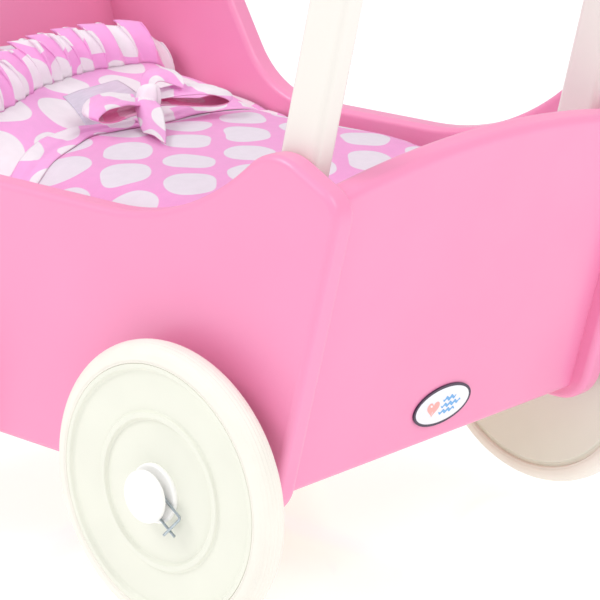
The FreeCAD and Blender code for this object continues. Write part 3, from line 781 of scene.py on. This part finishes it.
def build_bow(height):
    """Two open loops, a wrapped knot, a tail laid down the cover and one flipped up behind."""

    def loop(name, near_root, far_root, near_tip, far_tip, near_tall, far_tall, shift):
        rails = []
        for share in (0, 0.35, 0.7, 1):
            root = Vector(near_root).lerp(Vector(far_root), share)
            tip = Vector(near_tip).lerp(Vector(far_tip), share)
            out = tip - root
            rise = near_tall + (far_tall - near_tall) * share + 2 * math.sin(math.pi * share)
            swell = 1 + 0.12 * math.sin(math.pi * share)
            rails.append(
                [
                    root + UP * -1.5,
                    root + out * 0.3 + UP * -0.20 * rise,
                    root + out * 0.75 * swell + UP * -0.30 * rise,
                    root + out * 1.0 * swell + UP * 0.15 * rise,
                    root + out * 0.80 * swell + UP * 0.70 * rise,
                    root + out * 0.42 + UP * 0.72 * rise,
                    root + UP * 2.2,
                ]
            )

        def place(s, t):
            spot = loft(rails, s, t)
            pinch = 1 - math.sin(math.pi * s) ** 0.5
            pleat = 1.1 * math.sin(t * 5 * math.pi + 0.6) * (0.25 + 0.75 * pinch)
            spot.z += pleat + 0.7 * wander(spot.x, spot.y, 14, 21)
            spot.z = max(spot.z, height(spot.x, spot.y) + 1.2)
            return spot

        piece = cloth_grid(name, place, 84, 16, "dotted_cotton", ["bow_loops"], 0.4, shift)
        # The loop insides wear the painted-shade back copy of the cloth.
        finish_cloth(piece, back=SHADED_BACK_COTTON)

    left_roots, left_tips = ((-80, 5, 233), (-68, 5, 229)), ((-80, -35, 233), (-56, -45, 231))
    right_roots, right_tips = ((-70, 17, 230), (-80, 17, 233)), ((-45, 52, 228), (-66, 62, 230))
    loop("bow_loop_left", *left_roots, *left_tips, 9, 8, (12, 20))
    loop("bow_loop_right", *right_roots, *right_tips, 7, 8, (0, 5))

    def strip(name, rails, shift, floor=True, turn=0.5):
        def place(s, t):
            spot = loft(rails, s, t)
            spot.z += 0.5 * wander(spot.x, spot.y, 12, 31)
            if floor:
                spot.z = max(spot.z, height(spot.x, spot.y) + 1.3)
            return spot

        piece = cloth_grid(name, place, 48, 12, "dotted_cotton", ["bow_tails"], turn, shift)
        finish_cloth(piece)

    strip(
        "bow_tail_down",
        [
            [(-79, 6, 233), (-73, 0, 231), (-63, -7, 226), (-52, -15, 223), (-45, -20, 222.5)],
            [(-74, 6, 235), (-66, 1, 234), (-54, -8, 229), (-40, -18, 226), (-30, -26, 224)],
            [(-67, 11, 233), (-57, 7, 231), (-41, -6, 226), (-26, -20, 223), (-14, -32, 222.5)],
        ],
        (7, 3),
    )
    strip(
        "bow_tail_back",
        [
            [(-72, 13, 236), (-71, 14, 241), (-71, 19, 243), (-68, 26, 241), (-63, 31, 238)],
            [(-76, 15, 238), (-79, 18, 244), (-78, 24, 247), (-73, 31, 246), (-67, 35, 243)],
            [(-81, 14, 237), (-87, 19, 242), (-89, 27, 246), (-85, 34, 247), (-78, 38, 246)],
        ],
        (30, 12),
        False,
    )
    build_knot()


def build_knot():
    """The wrapped knot: a squared ball with shallow pleats, leaning a little to the handle."""
    rings, steps = 22, 40
    points, uvs = [], []
    for r in range(rings + 1):
        lat = math.pi * r / rings
        for s in range(steps):
            lon = 2 * math.pi * s / steps
            pleat = 1 + 0.05 * math.sin(lon * 5 + 2.5 * math.sin(lat))
            fat = 1 - 0.12 * math.cos(lat)
            x = 8.0 * fat * pleat * math.sin(lat) ** 0.5 * math.cos(lon)
            y = 7.2 * fat * pleat * math.sin(lat) ** 0.5 * math.sin(lon)
            z = 8.6 * math.cos(lat) * (1 + 0.06 * math.cos(lon))
            points.append(KNOT + Vector((x + z * 0.15, y, z)))
            uvs.append((lon * 1.5 - 4, lat * 2 - 3))
    faces = quads(rings + 1, steps, True)
    # The knot also wears the lighter, painted-light copy of the cloth.
    knot = new_piece("bow_knot", points, faces, "dotted_cotton", "bedding", [], uvs, LIT_COTTON)


add_studio()
add_camera()
dress_cad_nodes()
HEM = Look("hem_look", srgb(242, 176, 212), 0.8, {"Sheen Weight": 0.2}).made
# A lighter copy of the dotted cotton: painted light for the sheets, bow and knot, which show brighter
# than the pads beneath.
LIT_COTTON = cotton("cotton_lit_copy_look", pink=srgb(254, 176, 234), dots=srgb(250, 240, 248))
# A deeper pink copy for the sheets' other faces: painted shade inside the bow's loops.
SHADED_BACK_COTTON = cotton("cotton_shaded_back_look", pink=LOOP_SHADE_PINK, dots=srgb(240, 176, 208))
build_tyres()
build_badge()
build_bedding()
